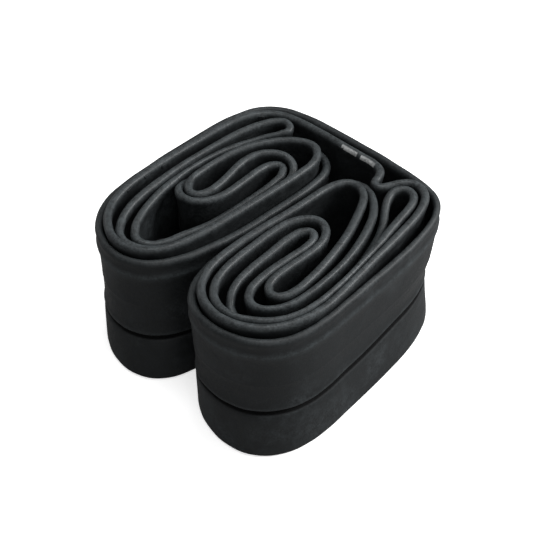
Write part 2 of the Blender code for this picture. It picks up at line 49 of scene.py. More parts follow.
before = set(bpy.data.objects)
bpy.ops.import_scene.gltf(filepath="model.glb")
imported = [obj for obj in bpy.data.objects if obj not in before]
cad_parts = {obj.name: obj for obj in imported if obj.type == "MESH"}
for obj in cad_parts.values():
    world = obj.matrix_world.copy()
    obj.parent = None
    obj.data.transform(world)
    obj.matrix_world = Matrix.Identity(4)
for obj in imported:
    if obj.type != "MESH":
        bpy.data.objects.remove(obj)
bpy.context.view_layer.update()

# %% [markdown]
# ## The camera
# A folded tube is looked down on from one corner, high enough to see into both rolls. A longish lens
# keeps the two rolls in proportion. The camera is placed by its angle and its distance, so it can be
# changed without hunting for a position by hand.

# %% Camera
VIEW_AZIMUTH = math.radians(45.0)
VIEW_ELEVATION = math.radians(46.0)
VIEW_DISTANCE = 339.0 * MM
AIM = Vector((18.0, -18.9, 54.0)) * MM
LENS = 76.3

backwards = Vector((
    math.cos(VIEW_ELEVATION) * math.sin(VIEW_AZIMUTH),
    -math.cos(VIEW_ELEVATION) * math.cos(VIEW_AZIMUTH),
    math.sin(VIEW_ELEVATION),
))
camera = bpy.data.objects.new("camera", bpy.data.cameras.new("camera"))
bpy.context.scene.collection.objects.link(camera)
camera.data.lens = LENS
camera.location = AIM + backwards * VIEW_DISTANCE
camera.rotation_euler = (-backwards).to_track_quat("-Z", "Y").to_euler()
bpy.context.scene.camera = camera
print("camera at", [round(c, 4) for c in camera.location])

# %% [markdown]
# ## The line that the strip follows
# Seen from above, the strip is one closed line that never crosses itself. These are the same points,
# in millimetres, that the CAD model is folded along, in order round the ring. Each named length ends
# where the next one starts. A closed Bezier curve with automatic handles runs smoothly through them,
# and the whole line is centred and fitted to the outer faces of the pack.

# %% The fold plan
FOLD_PLAN = {
    "tube_left_wrap": [
        (-31.2, 2.1), (-30.9, 8.7), (-29.8, 14.7), (-28.5, 19.8), (-25.2, 25.9), (-21.0, 30.9),
        (-16.8, 34.5), (-11.4, 35.9), (-6.3, 34.0), (-3.4, 29.7), (-2.4, 23.1), (-2.1, 11.1),
        (-2.4, -0.9), (-2.7, -12.9), (-3.6, -22.5), (-5.7, -32.4), (-9.9, -40.5), (-15.6, -44.7),
        (-22.5, -46.2), (-30.0, -44.7), (-36.9, -39.9), (-41.7, -32.1), (-43.8, -21.9),
        (-44.1, -9.9), (-44.1, 5.1), (-43.5, 18.6), (-42.0, 27.6), (-39.0, 35.1), (-33.6, 40.2),
        (-26.4, 42.9), (-15.0, 44.4), (-6.0, 45.1),
    ],
    "tube_right_wrap": [
        (3.0, 45.6), (12.0, 46.0), (21.0, 46.2), (28.5, 45.6), (34.2, 43.5), (38.1, 39.0),
        (40.5, 32.7), (42.0, 24.6), (42.9, 14.1), (43.5, 2.1), (43.9, -9.9), (44.1, -18.9),
        (43.2, -27.3), (40.5, -34.5), (35.4, -40.5), (28.2, -44.1), (19.8, -45.3),
        (12.0, -43.5), (6.0, -38.4), (2.4, -30.3), (0.9, -20.4), (1.2, -8.4), (1.8, 3.6),
        (2.4, 14.1), (3.3, 22.5), (5.4, 27.3), (8.7, 30.3), (12.0, 31.0),
    ],
    "tube_right_middle_turn": [
        (15.3, 30.4), (18.0, 28.9), (21.3, 26.2), (24.6, 22.2), (27.4, 16.8), (29.7, 11.1),
        (31.6, 5.1), (33.1, -1.5), (34.0, -9.9), (34.1, -17.4), (33.1, -24.3), (30.9, -28.9),
        (27.6, -31.8), (24.0, -31.8), (21.1, -28.9), (19.8, -24.3), (19.5, -17.4), (19.8, -9.9),
        (19.9, -3.3), (18.9, 0.9), (16.5, 2.4), (14.2, 0.6), (13.3, -3.9), (13.5, -12.9),
        (13.9, -21.9), (15.3, -29.4), (18.0, -33.9), (21.0, -36.3),
    ],
    "tube_right_small_loop": [
        (24.0, -36.6), (28.2, -34.4), (32.4, -30.1), (34.9, -25.5), (36.2, -18.9), (36.0, -9.9),
        (35.1, -0.9), (33.6, 7.5), (31.9, 14.1), (30.0, 19.5), (27.6, 24.0), (24.6, 28.2),
        (22.6, 32.1), (22.3, 35.4), (24.0, 38.1), (27.0, 38.4), (29.4, 36.3), (31.0, 32.1),
        (32.2, 26.1), (33.4, 20.1), (34.7, 14.1), (35.9, 7.5), (37.1, -0.9), (38.0, -9.9),
        (38.3, -18.9), (37.0, -26.1), (34.2, -31.5), (29.4, -36.1), (23.1, -39.3), (16.8, -38.7),
        (12.3, -35.1), (9.6, -29.1), (8.4, -21.9), (8.1, -14.4), (8.1, -5.4), (9.0, 0.9),
        (11.4, 5.4), (14.7, 7.5), (18.0, 6.9),
    ],
    "tube_right_main_turn": [
        (20.7, 4.2), (22.2, -0.3), (22.4, -7.5), (22.2, -15.3), (22.5, -20.7), (24.0, -24.0),
        (26.6, -25.1), (29.1, -23.4), (30.4, -18.9), (30.1, -12.3), (29.1, -5.4), (27.4, 2.1),
        (25.5, 8.7), (23.1, 14.7), (20.7, 20.1), (18.3, 24.6), (15.9, 27.3), (12.9, 28.5),
        (9.6, 27.6), (7.5, 24.9), (6.3, 20.4), (6.0, 14.1), (5.7, 6.6), (5.1, -0.9),
        (4.5, -9.9), (4.2, -18.9), (4.8, -27.3), (6.9, -33.9), (10.8, -39.0), (16.8, -41.7),
        (24.3, -41.5), (31.2, -38.4), (36.4, -33.0), (39.4, -26.4), (40.8, -18.9), (40.4, -9.9),
        (39.3, -0.9), (38.1, 8.1), (37.2, 16.5), (36.1, 24.6), (34.8, 31.5), (33.0, 36.9),
        (30.6, 40.5), (27.3, 42.1), (24.0, 41.7), (21.6, 39.3), (19.8, 36.0), (18.3, 33.4),
        (16.8, 32.7), (15.3, 33.6), (14.5, 36.0), (12.9, 39.0), (9.6, 40.4),
    ],
    "tube_left_main_turn": [
        (3.0, 40.4), (-6.0, 40.0), (-15.0, 39.8), (-24.0, 39.0), (-30.9, 36.9), (-36.0, 32.4),
        (-39.3, 25.5), (-40.5, 16.5), (-41.1, 5.1), (-41.1, -6.9), (-40.8, -18.9), (-39.0, -28.5),
        (-35.4, -36.0), (-30.0, -40.8), (-24.0, -42.9), (-18.0, -42.0), (-12.9, -38.4),
        (-9.3, -32.4), (-7.2, -23.4), (-6.3, -12.9), (-5.7, -0.9), (-5.2, 11.1), (-5.0, 20.1),
        (-5.7, 26.7), (-8.1, 31.2), (-11.4, 33.0), (-16.2, 31.5), (-20.4, 28.2), (-23.6, 23.7),
        (-26.3, 18.6), (-28.3, 12.0),
    ],
    "tube_left_middle_turn": [
        (-29.1, 5.1), (-29.2, -2.1), (-28.3, -7.5), (-26.2, -10.5), (-23.7, -11.7),
        (-21.3, -10.5), (-20.1, -7.2), (-20.1, -2.7), (-21.0, 2.7), (-22.2, 8.1), (-22.5, 12.9),
        (-21.3, 17.7), (-18.3, 21.3), (-14.4, 23.1), (-10.8, 22.5), (-8.5, 19.2), (-7.9, 12.6),
        (-8.4, -0.9), (-9.2, -12.9), (-10.2, -22.5), (-12.3, -30.3), (-15.9, -36.3),
        (-20.4, -39.6), (-25.2, -39.9), (-29.1, -36.9), (-32.2, -31.5), (-34.2, -23.7),
        (-35.2, -12.9), (-35.5, -0.9),
    ],
    "tube_left_inner_turn": [
        (-35.2, 11.1), (-34.0, 21.9), (-31.8, 29.7), (-29.4, 33.8), (-26.4, 35.4), (-23.6, 33.8),
        (-24.6, 30.2), (-27.6, 26.2), (-30.7, 20.1), (-32.3, 14.1), (-33.0, 8.1), (-33.4, 0.6),
        (-33.1, -6.9), (-32.4, -14.7), (-30.6, -22.5), (-28.2, -29.1), (-25.1, -34.2),
        (-21.3, -36.6), (-18.0, -35.1), (-15.6, -31.2), (-13.8, -24.0), (-12.0, -16.8),
        (-11.1, -8.4), (-10.4, 3.6), (-10.4, 12.0), (-11.4, 17.6), (-14.0, 20.1), (-16.4, 17.7),
        (-17.0, 12.6), (-16.4, 7.2), (-15.8, 2.4), (-15.4, -2.4), (-16.2, -8.1), (-18.6, -12.3),
        (-22.5, -14.7), (-26.7, -14.1), (-29.8, -10.5), (-31.2, -5.1),
    ],
}
LEFT_LENGTHS = [name for name in FOLD_PLAN if name.startswith("tube_left")]
RIGHT_LENGTHS = [name for name in FOLD_PLAN if name.startswith("tube_right")]
FLAT_THICKNESS = 1.5 * MM
STRIP_WIDTH = 49.5 * MM
INNER_LIFT = 4.5 * MM
TOP = INNER_LIFT + STRIP_WIDTH
CURVE_STEPS = 6

starts = {}
plan_points = []
for name, points in FOLD_PLAN.items():
    starts[name] = len(plan_points)
    plan_points += [(x * MM, y * MM) for x, y in points]
print("plan points:", len(plan_points))


# %% Lay the curve point by point
def only(thing):
    """Select one object alone and make it the active one."""
    bpy.ops.object.select_all(action="DESELECT")
    thing.select_set(True)
    bpy.context.view_layer.objects.active = thing


def laid_curve(name, points, closed):
    """A smooth curve through points on the ground, added one after another as by hand."""
    bpy.ops.object.select_all(action="DESELECT")
    bpy.ops.curve.primitive_bezier_curve_add()
    curve = bpy.context.object
    curve.name = name
    bpy.ops.object.mode_set(mode="EDIT")
    bpy.ops.curve.select_all(action="SELECT")
    bpy.ops.curve.delete(type="VERT")
    for x, y in points:
        bpy.ops.curve.vertex_add(location=(x, y, 0.0))
    bpy.ops.curve.select_all(action="SELECT")
    if closed:
        bpy.ops.curve.cyclic_toggle()
    bpy.ops.curve.handle_type_set(type="AUTOMATIC")
    bpy.ops.object.mode_set(mode="OBJECT")
    return curve


strip = laid_curve("strip", plan_points, closed=True)
print("points on the curve:", len(strip.data.splines[0].bezier_points))

# %% [markdown]
# ## The flattened section
# Cut across, the flattened tube is a tall thin loop: two walls lying on each other, with a fat rounded
# bead at the top and the bottom where the rubber turns round. The bead is the bright ridge that shows
# from above. This section is drawn once as rows of points up one side and down the other, and the
# curve carries it round the whole ring as its bevel shape. Extra rows are spent where the outer
# length needs them: under its lip, at the mould line and at the tuck near the ground.

# %% Rows of the section
BEAD = 1.4                       # half width of the rounded edge, in mm
WALL = 0.5 * FLAT_THICKNESS / MM
WIDTH = STRIP_WIDTH / MM
CAP_ANGLES = [18.0, 36.0, 54.0, 72.0, 90.0]
NEAR_EDGE = [1.9, 2.5, 3.3, 4.4, 6.0]          # distances from an edge, in mm
WALL_ROWS = [
    8.0, 10.5, 13.0, 14.2, 14.8, 15.1, 15.3, 15.9, 16.2, 16.4, 16.6, 16.9, 17.4, 18.6, 20.0,
    22.0, 25.0, 28.0, 29.5, 29.9, 30.3, 30.7, 33.0, 36.0, 38.5, 40.5, 42.3,
]

cap_rows = [BEAD * (1.0 - math.cos(math.radians(angle))) for angle in CAP_ANGLES]
side_rows = (
    cap_rows + NEAR_EDGE + WALL_ROWS
    + [WIDTH - row for row in reversed(NEAR_EDGE)] + [WIDTH - row for row in reversed(cap_rows)]
)
row_height = np.array([0.0] + side_rows + [WIDTH] + side_rows[::-1])
row_side = np.array([0.0] + [1.0] * len(side_rows) + [0.0] + [-1.0] * len(side_rows))
ROWS = len(row_height)

section_data = bpy.data.curves.new("section", "CURVE")
spline = section_data.splines.new("POLY")
spline.points.add(ROWS - 1)
for point, side, height in zip(spline.points, row_side, row_height):
    point.co = (side * WALL * MM, height * MM, 0.0, 1.0)
spline.use_cyclic_u = True
section = bpy.data.objects.new("section", section_data)
bpy.context.scene.collection.objects.link(section)
print("rows round the section:", ROWS)

# %% Sweep the section round the ring and make it a mesh
strip.data.dimensions = "3D"
strip.data.twist_mode = "Z_UP"
strip.data.resolution_u = CURVE_STEPS
strip.data.render_resolution_u = CURVE_STEPS
strip.data.bevel_mode = "OBJECT"
strip.data.bevel_object = section
only(strip)
bpy.ops.object.convert(target="MESH")
strip = bpy.context.object
bpy.data.objects.remove(section)
swept = np.empty(len(strip.data.vertices) * 3)
strip.data.vertices.foreach_get("co", swept)
swept = swept.reshape(-1, ROWS, 3)
STATIONS = len(swept)
print("stations along the ring:", STATIONS, "faces:", len(strip.data.polygons))

# %% [markdown]
# ## What changes along the strip
# Every point along the ring is a station. From station to station the top edge slips down by a
# different amount, because the turns were never pressed quite level. The outer wrap also leans, is
# drawn in at its tuck and spreads at its foot. These amounts are set at a few points of the plan, as
# pairs of a point's number and a value in mm, and run evenly between them. How wide the bead can be
# before it meets its neighbour is measured from the line itself.

# %% Centre line, sideways directions and lengths
PACK_WIDTH = 89.8 * MM
PACK_LENGTH = 93.9 * MM


def fitted(highlight_line):
    """Centre the line and stretch it so that its outer faces have the pack's width and length."""
    low = highlight_line.min(0)
    high = highlight_line.max(0)
    pack = np.array([PACK_WIDTH, PACK_LENGTH])
    return (highlight_line - (low + high) / 2.0) * (pack - FLAT_THICKNESS) / (high - low)


centre = fitted(swept[:, 0, :2])
ahead = np.roll(centre, -1, 0) - np.roll(centre, 1, 0)
ahead /= np.linalg.norm(ahead, axis=1)[:, None]
rightward = np.stack([ahead[:, 1], -ahead[:, 0]], 1)
steps = np.linalg.norm(np.roll(centre, -1, 0) - centre, axis=1)
along = np.concatenate([[0.0], np.cumsum(steps)[:-1]])
RING_LENGTH = steps.sum()
print("length of the ring in mm:", round(RING_LENGTH / MM, 1))

# %% How far each part of the top edge has slipped down
def tell(amount, table):
    """Print at how many points of the plan an amount is set."""
    print(amount, "set at", sum(len(pairs) for pairs in table.values()), "points")


DROPS = {
    "tube_left_wrap": [(0, 4.0), (2, 6.0), (13, 5.5), (15, 4.0), (17, 2.9), (19, 2.7), (22, 2.4),
                       (25, 1.5), (28, 1.4), (31, 1.4)],
    "tube_right_wrap": [(0, 1.5), (3, 1.8), (8, 3.0), (12, 3.0), (15, 2.6), (18, 3.2), (21, 5.0),
                        (24, 5.0), (27, 2.5)],
    "tube_right_middle_turn": [(1, 1.5), (4, 0.6), (8, 0.0), (20, 0.0), (24, 0.8), (27, 2.0)],
    "tube_right_small_loop": [(0, 3.2), (2, 4.5), (9, 4.5), (12, 2.0), (14, 0.2), (38, 0.0)],
    "tube_right_main_turn": [(0, 0.0), (52, 0.0)],
    "tube_left_main_turn": [(0, 0.0), (28, 0.0), (30, 0.3)],
    "tube_left_middle_turn": [(2, 0.4), (4, 0.4), (12, 0.2), (14, 0.6), (16, 3.5), (20, 4.3),
                              (23, 2.5), (26, 1.0), (28, 0.5)],
    "tube_left_inner_turn": [(1, 0.4), (5, 0.0), (7, 1.0), (9, 3.0), (12, 1.5), (14, 1.5),
                             (17, 2.0), (20, 4.0), (23, 4.5), (25, 3.5), (27, 2.8), (29, 1.6),
                             (31, 0.7), (34, 0.4), (36, 0.5), (37, 2.0)],
}
tell("drop", DROPS)

# %% Where the strip is the outer wrap, from 0 for not at all to 1
WRAPPED = {
    "tube_left_wrap": [(8, 0.0), (10, 0.25), (14, 0.3), (16, 1.0), (31, 1.0)],
    "tube_right_wrap": [(0, 1.0), (18, 1.0), (20, 0.4), (22, 0.25), (24, 0.15), (26, 0.0)],
    "tube_right_middle_turn": [(0, 0.0)],
    "tube_left_inner_turn": [(37, 0.0)],
}
tell("wrap", WRAPPED)

# %% How far the wrap's top leans in against the turn inside it
LEANS = {
    "tube_left_wrap": [(14, 0.0), (16, 0.7), (18, 0.9), (23, 0.9), (26, 0.5), (28, 0.0),
                       (31, 0.0)],
    "tube_right_wrap": [(1, 0.0), (3, 0.8), (5, 1.2), (7, 1.5), (12, 1.4), (15, 1.0), (17, 0.9),
                        (19, 0.2), (20, 0.0)],
    "tube_right_middle_turn": [(0, 0.0)],
    "tube_left_inner_turn": [(37, 0.0)],
}
tell("lean", LEANS)

# %% How far its foot spreads out
SPREADS = {
    "tube_left_wrap": [(10, 0.0), (14, 0.3), (15, 2.0), (17, 4.0), (18, 3.4), (19, 1.8), (20, 0.6),
                       (21, 0.0), (23, 0.0), (26, 0.0), (31, 0.4)],
    "tube_right_wrap": [(0, 0.4), (3, -0.2), (5, -0.8), (7, -0.2), (8, 0.6), (10, 1.2),
                        (12, 1.5), (13, 1.8), (14, 2.4), (15, 2.6), (16, 1.8), (17, -0.2),
                        (18, -1.4), (19, -1.6), (21, 0.0)],
    "tube_right_middle_turn": [(0, 0.0)],
    "tube_left_inner_turn": [(37, 0.0)],
}
tell("foot", SPREADS)

# %% How far the wrap is drawn in just above its tuck
PINCHES = {
    "tube_left_wrap": [(14, 0.0), (16, 0.4), (18, 0.6), (22, 0.6), (24, 0.2), (31, 0.0)],
    "tube_right_wrap": [(1, 0.0), (3, 2.0), (5, 3.4), (7, 2.8), (10, 1.2), (12, 0.4), (14, 0.2),
                        (16, 0.5), (17, 1.2), (19, 1.2), (21, 0.0)],
}
tell("pinch", PINCHES)

# %% How far the wall stands up off the foot, and how much higher than usual the tuck runs
TUCK_GAPS = {
    "tube_left_wrap": [(10, 0.0), (16, 0.1), (31, 0.5)],
    "tube_right_wrap": [(2, 0.8), (5, 1.3), (10, 1.3), (13, 0.6), (16, 0.2), (19, 0.1), (21, 0.0)],
}
TUCK_RISES = {
    "tube_left_wrap": [(10, 0.0), (15, 0.5), (31, 0.8)],
    "tube_right_wrap": [(2, 1.6), (6, 2.2), (11, 2.4), (16, 2.6), (19, 1.6), (21, 0.0)],
}
tell("opening of the tuck", TUCK_GAPS)
tell("height of the tuck", TUCK_RISES)


# %% Run the amounts round the ring
def along_ring(table):
    """Values set at points of the plan, run evenly between them and softened at the points."""
    places = []
    values = []
    for name in FOLD_PLAN:
        for point, value in table.get(name, []):
            places.append((starts[name] + point) * CURVE_STEPS)
            values.append(value)
    rough = np.interp(np.arange(STATIONS), places, values, period=STATIONS)
    window = np.hanning(2 * CURVE_STEPS + 3)
    padded = np.concatenate([rough[-CURVE_STEPS - 1:], rough, rough[:CURVE_STEPS + 1]])
    return np.convolve(padded, window / window.sum(), "valid")


drop = along_ring(DROPS)
wrapped = along_ring(WRAPPED)
lean = along_ring(LEANS)
foot_spread = along_ring(SPREADS)
pinch = along_ring(PINCHES)
tuck_rise = along_ring(TUCK_RISES)
tuck_gap = along_ring(TUCK_GAPS)
print("drop from", round(drop.min(), 2), "to", round(drop.max(), 2), "mm")


# %% How near the neighbours are
NEIGHBOUR_LIMIT = 4.0 * MM       # beyond this a neighbour doesn't matter
SAME_RUN = 9.0 * MM              # nearer than this along the strip is the strip itself
BEAD_GAP = 0.06                  # left between two beads, in mm
LEAN_SQUEEZE = 0.35              # how much of a lean the bead on that side gives way

offset = centre[None, :, :] - centre[:, None, :]
distance = np.linalg.norm(offset, axis=2)
apart = np.abs(along[None, :] - along[:, None])
apart = np.minimum(apart, RING_LENGTH - apart)
across = np.einsum("ijk,ik->ij", offset, rightward)
beside = (apart > SAME_RUN) & (distance < NEIGHBOUR_LIMIT) & (np.abs(across) > 0.8 * distance)
bead = {}
for side in (1.0, -1.0):
    gap = np.where(beside & (across * side > 0.0), distance, NEIGHBOUR_LIMIT).min(1)
    room = gap / MM / 2.0 - BEAD_GAP
    window = np.hanning(9)
    padded = np.concatenate([room[-4:], room, room[:4]])
    evened = np.minimum(room, np.convolve(padded, window / window.sum(), "valid"))
    bead[side] = np.clip(evened, WALL, BEAD)
leaned_on = np.clip(bead[1.0] - LEAN_SQUEEZE * lean, WALL, BEAD)
bead[1.0] = np.where(lean > 0.0, leaned_on, bead[1.0])
for side in bead:
    print("bead half width from", round(bead[side].min(), 2), "to", round(bead[side].max(), 2))

# %% [markdown]
# ## The outer face of the wrap
# The outermost length looks different from the inner ones. Its top edge is rolled outwards into a lip
# with a soft crease, the wall below is drawn in, a faint mould line runs round it at mid height, and
# near the ground the wall hangs over a wider foot, which makes a deep tuck. All of that is one
# list of heights and reaches, in mm from the middle of the strip, read at each row. The inside of the
# tuck is also darkened in the finish, as painted shade.

# %% Profile of the outer face
LIP = [(9.0, 1.05), (7.2, 1.45), (6.0, 1.55), (5.2, 1.42), (4.4, 1.22), (3.3, 1.18), (2.5, 1.3),
       (1.9, 1.42), (1.4, 1.45), (0.97, 1.4), (0.58, 1.2), (0.27, 0.88), (0.07, 0.5), (0.0, 0.0)]
FACE = [
    (0.0, 0.0), (0.07, 0.6), (0.3, 1.0), (0.6, 1.25), (1.0, 1.4), (1.4, 1.45), (6.0, 1.45),
    (10.5, 1.5), (13.0, 1.5), (14.2, 1.45), (14.8, 1.25), (15.1, 0.8), (15.3, 0.2), (15.9, 0.12),
    (16.2, 0.14), (16.4, 0.5), (16.6, 1.15), (16.9, 1.5), (17.4, 1.6), (18.6, 1.45), (20.0, 1.25),
    (22.0, 1.08), (25.0, 0.94), (28.0, 0.87), (29.5, 0.86), (29.9, 0.92), (30.3, 0.92), (30.7, 0.86),
    (35.0, 0.78), (38.5, 0.85),
]
FACE += [(WIDTH - below, reach) for below, reach in LIP]
TUCK = 15.9                      # height of the tuck on the strip
FOOT_TOP = TUCK - 0.3            # where the foot starts to spread, just under the tuck
LEAST_REACH = 0.12               # of the outer face, so that the wrap keeps a thickness
face_heights, face_reaches = zip(*FACE)
outer_face = np.interp(row_height, face_heights, face_reaches)


def edge_shape(height, half_width):
    """Half thickness of a plain length: a round bead at both edges and a thin wall between."""
    from_edge = np.minimum(height, WIDTH - height)[None, :]
    round_part = half_width * np.sqrt(np.clip(1.0 - (1.0 - from_edge / BEAD) ** 2, 0.0, 1.0))
    share = np.clip((from_edge - BEAD) / (NEAR_EDGE[-1] - BEAD), 0.0, 1.0)
    easing = 1.0 - share * share * (3.0 - 2.0 * share)
    wall_part = WALL + (half_width - WALL) * easing
    return np.where(from_edge < BEAD, round_part, wall_part)


print("widest reach of the outer face:", max(face_reaches), "mm")

# %% Small unevenness, the same on each run
def waves(position, lengths, seed):
    """A sum of a few long sine waves along the strip, each with a whole number round the ring."""
    total = np.zeros_like(position)
    for number, length in enumerate(lengths):
        count = round(RING_LENGTH / (length * MM))
        total += np.sin(2.0 * math.pi * (count * position / RING_LENGTH + 0.37 * seed + 0.61 * number))
    return total / len(lengths)


edge_waves = 0.16 * waves(along, (61.0, 37.0, 23.0), 1)
lip_waves = 0.14 * waves(along, (47.0, 29.0, 13.0), 2)
tuck_waves = 0.45 * waves(along, (83.0, 41.0, 27.0), 3)
print("unevenness of the top edge in mm:", round(np.abs(edge_waves).max(), 2))

# %% Half thickness at every row of every station
LIP_START = 40.0                 # above this height the wall starts to become the lip
FOOT_ROWS = (1.5, 14.0)          # the foot is between these heights
FOOT_WAVE_SHARE = 0.6            # of the lip's waves

half = np.where(
    row_side[None, :] > 0.0,
    edge_shape(row_height, bead[1.0][:, None]),
    edge_shape(row_height, bead[-1.0][:, None]),
)
half[:, row_side == 0.0] = 0.0
outside = row_side < 0.0
share = wrapped[:, None]
lip_share = np.clip((row_height - LIP_START) / (WIDTH - LIP_START), 0.0, 1.0)[None, :]
foot_share = (row_height > FOOT_ROWS[0]) & (row_height < FOOT_ROWS[1])
wave_share = lip_share + FOOT_WAVE_SHARE * foot_share[None, :]
reach = outer_face[None, :] + lip_waves[:, None] * wave_share
half[:, outside] = ((1.0 - share) * half + share * reach)[:, outside]
half[:, outside] = np.maximum(half[:, outside], LEAST_REACH * (row_height[outside] > 0.0))
print("half thickness up to", round(half.max(), 2), "mm")

# %% Height and sideways place of every row, then the new shape
RISE_WIDTH = 5.0                 # how far up and down the strip a rise of the tuck is felt
GAP_WIDTH = 6.0                  # how far up the wall the opened tuck is felt
PINCH_HEIGHT = 2.0               # the pinch is deepest this far above the tuck
PINCH_WIDTH = 12.0
LEAN_POWER = 0.7                 # below 1, so that the wall bends most near the tuck
SPREAD_POWER = 0.8

top = TOP / MM - drop + edge_waves
lifted = np.clip(INNER_LIFT / MM - drop, 0.0, None)
outer = np.isin(np.arange(STATIONS), np.concatenate([
    np.arange(starts[name] * CURVE_STEPS, (starts[name] + len(FOLD_PLAN[name])) * CURVE_STEPS)
    for name in ("tube_left_wrap", "tube_right_wrap")
]))
base = np.where(outer, 0.0, lifted)
level = base[:, None] + row_height[None, :] / WIDTH * (top - base)[:, None]
near_tuck = np.exp(-((row_height - TUCK) / RISE_WIDTH) ** 2)[None, :]
level = level + (tuck_rise + wrapped * tuck_waves)[:, None] * near_tuck
above_tuck = np.exp(-((row_height - TUCK) / GAP_WIDTH) ** 2) * (row_height > TUCK)
level = level + tuck_gap[:, None] * above_tuck[None, :]

upper = np.clip((row_height - TUCK) / (WIDTH - TUCK), 0.0, 1.0)[None, :]
lower = np.clip((FOOT_TOP - row_height) / FOOT_TOP, 0.0, 1.0)[None, :]
drawn_in = np.exp(-((row_height - TUCK - PINCH_HEIGHT) / PINCH_WIDTH) ** 2)[None, :]
inward = lean[:, None] * upper ** LEAN_POWER + pinch[:, None] * drawn_in
inward -= foot_spread[:, None] * lower ** SPREAD_POWER
shaped = np.empty_like(swept)
sideways = half * row_side + inward
shaped[:, :, :2] = centre[:, None, :] + rightward[:, None, :] * sideways[:, :, None] * MM
shaped[:, :, 2] = level * MM
strip.data.vertices.foreach_set("co", shaped.ravel())
strip.data.update()
print("strip from", shaped.reshape(-1, 3).min(0).round(4), "to", shaped.reshape(-1, 3).max(0).round(4))

# %% [markdown]
# ## Numbers painted on the rubber
# The finish needs to know where the rounded edges are, because handling leaves the rubber greyer
# there, where the lip and the tuck are, for the painted highlight lines on them and the painted shade
# inside the tuck, and how far along the strip a spot is. The places are stored in the mesh as
# attributes on its points, and the distance along the strip as a UV map in metres.

# %% Attributes for the finish
EDGE_WIDTH = 1.2                 # how far down from the top the rubbed edge fades, in mm
WRAP_FADE = 0.6                  # the wrap's own edge is rubbed this much less
LIP_HIGHLIGHT_LINE = (6.2, 0.9, 0.7)       # below the top: middle, width and strength of the painted highlight line on the lip's bulge
OVERHANG_HIGHLIGHT_LINE = (1.6, 0.6, 0.35)  # above the tuck: the same, for the painted highlight on the overhanging edge
TUCK_ROWS = (14.9, 16.5)         # the painted shade inside the tuck is between these heights


def stored(name, values):
    """Store a value for each point of the strip as an attribute."""
    attribute = strip.data.attributes.new(name, "FLOAT", "POINT")
    attribute.data.foreach_set("value", values.ravel().astype(np.float32))


def highlight_line_at(distances, highlight_line):
    """A soft painted highlight line at a distance, as strong as it says."""
    middle, width, strength = highlight_line
    return strength * np.exp(-((distances - middle) / width) ** 2)


from_top = WIDTH - row_height
outer_rows = wrapped[:, None] * outside[None, :]
painted_tuck_shade = (row_height > TUCK_ROWS[0]) & (row_height < TUCK_ROWS[1])
edge_fade = 1.0 - WRAP_FADE * wrapped[:, None]
stored("rounded_edge", np.exp(-(from_top / EDGE_WIDTH) ** 2)[None, :] * edge_fade)
# Painted highlight lines: a pale line on the lip's bulge and one on the overhanging edge above the tuck.
painted_highlight_lines = highlight_line_at(from_top, LIP_HIGHLIGHT_LINE) + highlight_line_at(row_height - TUCK, OVERHANG_HIGHLIGHT_LINE)
stored("painted_highlights", np.clip(outer_rows * painted_highlight_lines[None, :], 0.0, 1.0))
# Painted shade: the rows inside the tuck, which the finish darkens towards near black.
stored("painted_tuck_shade", outer_rows * painted_tuck_shade[None, :])
print("attributes:", [item.name for item in strip.data.attributes if item.domain == "POINT"])

# %% UV map in metres
round_lengths = np.concatenate([[0.0], np.abs(np.diff(row_height)) + np.abs(np.diff(row_side)) * WALL])
round_place = np.cumsum(round_lengths) * MM
girth = round_place[-1] + 0.5 * WALL * MM
corner = np.empty(len(strip.data.loops), int)
strip.data.loops.foreach_get("vertex_index", corner)
corner = corner.reshape(-1, 4)
station = corner // ROWS
row = corner % ROWS
wraps_end = station.max(1) - station.min(1) > 1
station = station + STATIONS * (wraps_end[:, None] & (station == 0))
closes = row.max(1) - row.min(1) > 1
row = row + ROWS * (closes[:, None] & (row == 0))
map_u = np.append(along, RING_LENGTH)[station]
map_v = np.append(round_place, girth)[row]
while strip.data.uv_layers:
    strip.data.uv_layers.remove(strip.data.uv_layers[0])
uv = strip.data.uv_layers.new(name="strip_map")
uv.data.foreach_set("uv", np.stack([map_u, map_v], 2).ravel().astype(np.float32))
print("map of", round(map_u.max(), 3), "by", round(map_v.max(), 3), "m")

# %% [markdown]
# ## Cutting the strip into pieces that can move
# The rolls open like a book, and the two lengths of strip along the back bend as they do. So the ring
# is cut there: one piece for each roll, and one for each back length, which will bend between the two
# rolls. Every cut end gets a face, so that each piece is a closed shell.

# %% Separate the pieces
BEND_START = -16.0 * MM
BEND_END = 10.2 * MM
BACK_LINE = 38.5 * MM
OUTER_BACK_LINE = 42.8 * MM

first = station.min(1)
middle = (centre + np.roll(centre, -1, 0)) / 2.0
in_back = (middle[:, 1] > BACK_LINE) & (middle[:, 0] > BEND_START) & (middle[:, 0] < BEND_END)
right_side = np.zeros(STATIONS, bool)
for name in RIGHT_LENGTHS:
    right_side[starts[name] * CURVE_STEPS:(starts[name] + len(FOLD_PLAN[name])) * CURVE_STEPS] = True
kind = np.where(right_side, 1, 0)
kind[in_back & (middle[:, 1] > OUTER_BACK_LINE)] = 2
kind[in_back & (middle[:, 1] <= OUTER_BACK_LINE)] = 3
PIECE_NAMES = ["tube_left", "tube_right", "tube_back_outer", "tube_back_inner"]
mark = strip.data.attributes.new("piece", "INT", "FACE")
mark.data.foreach_set("value", kind[first].astype(np.int32))


